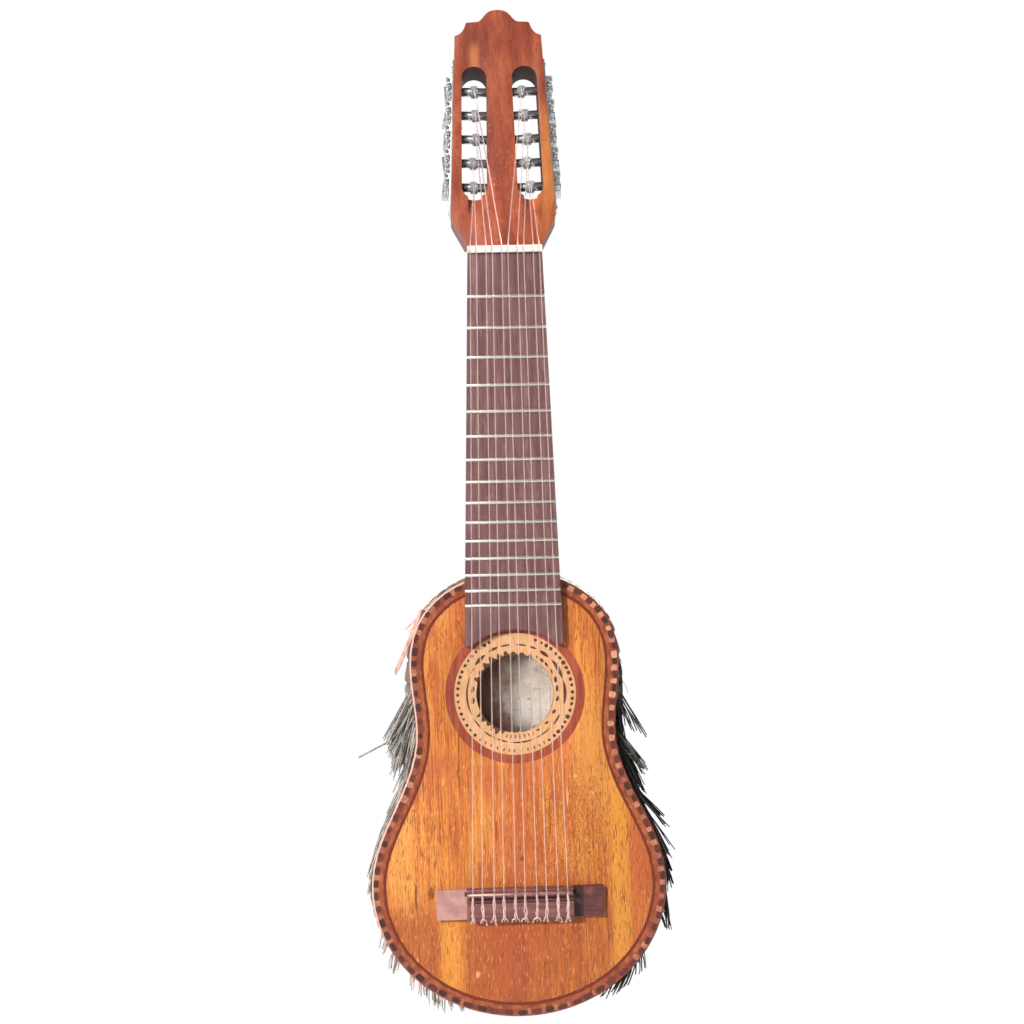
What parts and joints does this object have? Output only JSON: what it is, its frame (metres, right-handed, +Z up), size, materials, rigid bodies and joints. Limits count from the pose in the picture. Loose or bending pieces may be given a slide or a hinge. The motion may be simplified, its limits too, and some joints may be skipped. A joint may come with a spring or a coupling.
{
  "type": "charango",
  "caption": "Small fretted folk lute with a hollow animal-shell back, a waisted wooden top, double-course nylon strings, and a slotted head with worm-geared tuners.",
  "frame": {"origin": "middle of the neck's top face at the nut's front edge, where the open string length starts and a hanger's fork carries the neck", "axes": "+Z up the neck to the head, +X to the right seen from the front, the soundboard faces -Y and the shell faces +Y"},
  "size_m": [0.1897, 0.0863, 0.5967],
  "materials": {
    "soundboard_wood": "satin varnish",
    "mosaic": "inlaid, satin varnish",
    "dark_inlay": "inlaid, satin varnish",
    "tan_inlay": "pierced and burnt, satin varnish",
    "red_inlay": "inlaid, satin varnish",
    "shell": "dry horny scales",
    "lining_wood": "raw",
    "brace_wood": "raw",
    "rosewood": "satin",
    "bone": "polished bone",
    "neck_wood": "satin varnish",
    "head_wood": "satin varnish",
    "fingerboard_wood": "oiled",
    "fret_metal": "nickel silver",
    "plate_metal": "nickel plated",
    "screw_metal": "nickel plated",
    "bristle": "stiff dry hair",
    "nylon": "translucent nylon",
    "roller_metal": "plain steel",
    "knob_metal": "nickel plated"
  },
  "bodies": {
    "root": {"soundboard": "soundboard_wood", "edge_mosaic": "mosaic", "edge_line": "dark_inlay", "rosette_band": "tan_inlay", "rosette_ring": "red_inlay", "carapace": "shell", "rim_hoop": "lining_wood", "tail_block": "lining_wood", "brace_upper": "brace_wood", "brace_lower": "brace_wood", "bridge_patch": "brace_wood", "bridge": "rosewood", "saddle": "bone", "neck": "neck_wood", "headstock": "head_wood", "fingerboard": "fingerboard_wood", "frets": "fret_metal", "nut": "bone", "tuner_plate_left": "plate_metal", "tuner_plate_right": "plate_metal", "plate_screws": "screw_metal", "bristles": "bristle", "string_1": "nylon", "string_2": "nylon", "string_3": "nylon", "string_4": "nylon", "string_5": "nylon", "string_6": "nylon", "string_7": "nylon", "string_8": "nylon", "string_9": "nylon", "string_10": "nylon"},
    "roller_1": {"roller_1": "roller_metal"},
    "knob_1": {"knob_1": "knob_metal"},
    "roller_2": {"roller_2": "roller_metal"},
    "knob_2": {"knob_2": "knob_metal"},
    "roller_3": {"roller_3": "roller_metal"},
    "knob_3": {"knob_3": "knob_metal"},
    "roller_4": {"roller_4": "roller_metal"},
    "knob_4": {"knob_4": "knob_metal"},
    "roller_5": {"roller_5": "roller_metal"},
    "knob_5": {"knob_5": "knob_metal"},
    "roller_6": {"roller_6": "roller_metal"},
    "knob_6": {"knob_6": "knob_metal"},
    "roller_7": {"roller_7": "roller_metal"},
    "knob_7": {"knob_7": "knob_metal"},
    "roller_8": {"roller_8": "roller_metal"},
    "knob_8": {"knob_8": "knob_metal"},
    "roller_9": {"roller_9": "roller_metal"},
    "knob_9": {"knob_9": "knob_metal"},
    "roller_10": {"roller_10": "roller_metal"},
    "knob_10": {"knob_10": "knob_metal"}
  },
  "joints": [
    {"name": "knob_1_turn", "type": "hinge", "parent": "root", "child": "knob_1", "pos_m": [-0.03279, 0.01851, 0.04767], "axis": [0, -0.9703, 0.2419], "continuous": true},
    {"name": "roller_1_turn", "type": "hinge", "parent": "root", "child": "roller_1", "pos_m": [-0.03301, 0.01718, 0.04234], "axis": [-0.9992, 0.01, 0.0399], "continuous": true},
    {"name": "knob_2_turn", "type": "hinge", "parent": "root", "child": "knob_2", "pos_m": [-0.03215, 0.02226, 0.06269], "axis": [0, -0.9703, 0.2419], "continuous": true},
    {"name": "roller_2_turn", "type": "hinge", "parent": "root", "child": "roller_2", "pos_m": [-0.03238, 0.02093, 0.05736], "axis": [-0.9992, 0.01, 0.0399], "continuous": true},
    {"name": "knob_3_turn", "type": "hinge", "parent": "root", "child": "knob_3", "pos_m": [-0.03151, 0.02601, 0.07772], "axis": [0, -0.9703, 0.2419], "continuous": true},
    {"name": "roller_3_turn", "type": "hinge", "parent": "root", "child": "roller_3", "pos_m": [-0.03174, 0.02468, 0.07239], "axis": [-0.9992, 0.01, 0.0399], "continuous": true},
    {"name": "knob_4_turn", "type": "hinge", "parent": "root", "child": "knob_4", "pos_m": [-0.03087, 0.02975, 0.09275], "axis": [0, -0.9703, 0.2419], "continuous": true},
    {"name": "roller_4_turn", "type": "hinge", "parent": "root", "child": "roller_4", "pos_m": [-0.0311, 0.02842, 0.08742], "axis": [-0.9992, 0.01, 0.0399], "continuous": true},
    {"name": "knob_5_turn", "type": "hinge", "parent": "root", "child": "knob_5", "pos_m": [-0.03024, 0.0335, 0.10777], "axis": [0, -0.9703, 0.2419], "continuous": true},
    {"name": "roller_5_turn", "type": "hinge", "parent": "root", "child": "roller_5", "pos_m": [-0.03046, 0.03217, 0.10244], "axis": [-0.9992, 0.01, 0.0399], "continuous": true},
    {"name": "knob_6_turn", "type": "hinge", "parent": "root", "child": "knob_6", "pos_m": [0.03024, 0.0335, 0.10777], "axis": [0, -0.9703, 0.2419], "continuous": true},
    {"name": "roller_6_turn", "type": "hinge", "parent": "root", "child": "roller_6", "pos_m": [0.03046, 0.03217, 0.10244], "axis": [0.9992, 0.01, 0.0399], "continuous": true},
    {"name": "knob_7_turn", "type": "hinge", "parent": "root", "child": "knob_7", "pos_m": [0.03087, 0.02975, 0.09275], "axis": [0, -0.9703, 0.2419], "continuous": true},
    {"name": "roller_7_turn", "type": "hinge", "parent": "root", "child": "roller_7", "pos_m": [0.0311, 0.02842, 0.08742], "axis": [0.9992, 0.01, 0.0399], "continuous": true},
    {"name": "knob_8_turn", "type": "hinge", "parent": "root", "child": "knob_8", "pos_m": [0.03151, 0.02601, 0.07772], "axis": [0, -0.9703, 0.2419], "continuous": true},
    {"name": "roller_8_turn", "type": "hinge", "parent": "root", "child": "roller_8", "pos_m": [0.03174, 0.02468, 0.07239], "axis": [0.9992, 0.01, 0.0399], "continuous": true},
    {"name": "knob_9_turn", "type": "hinge", "parent": "root", "child": "knob_9", "pos_m": [0.03215, 0.02226, 0.06269], "axis": [0, -0.9703, 0.2419], "continuous": true},
    {"name": "roller_9_turn", "type": "hinge", "parent": "root", "child": "roller_9", "pos_m": [0.03238, 0.02093, 0.05736], "axis": [0.9992, 0.01, 0.0399], "continuous": true},
    {"name": "knob_10_turn", "type": "hinge", "parent": "root", "child": "knob_10", "pos_m": [0.03279, 0.01851, 0.04767], "axis": [0, -0.9703, 0.2419], "continuous": true},
    {"name": "roller_10_turn", "type": "hinge", "parent": "root", "child": "roller_10", "pos_m": [0.03301, 0.01718, 0.04234], "axis": [0.9992, 0.01, 0.0399], "continuous": true}
  ],
  "couplings": [
    {"joint": "roller_1_turn", "follows": "knob_1_turn", "ratio": -0.071429},
    {"joint": "roller_2_turn", "follows": "knob_2_turn", "ratio": -0.071429},
    {"joint": "roller_3_turn", "follows": "knob_3_turn", "ratio": -0.071429},
    {"joint": "roller_4_turn", "follows": "knob_4_turn", "ratio": -0.071429},
    {"joint": "roller_5_turn", "follows": "knob_5_turn", "ratio": -0.071429},
    {"joint": "roller_6_turn", "follows": "knob_6_turn", "ratio": -0.071429},
    {"joint": "roller_7_turn", "follows": "knob_7_turn", "ratio": -0.071429},
    {"joint": "roller_8_turn", "follows": "knob_8_turn", "ratio": -0.071429},
    {"joint": "roller_9_turn", "follows": "knob_9_turn", "ratio": -0.071429},
    {"joint": "roller_10_turn", "follows": "knob_10_turn", "ratio": -0.071429}
  ]
}
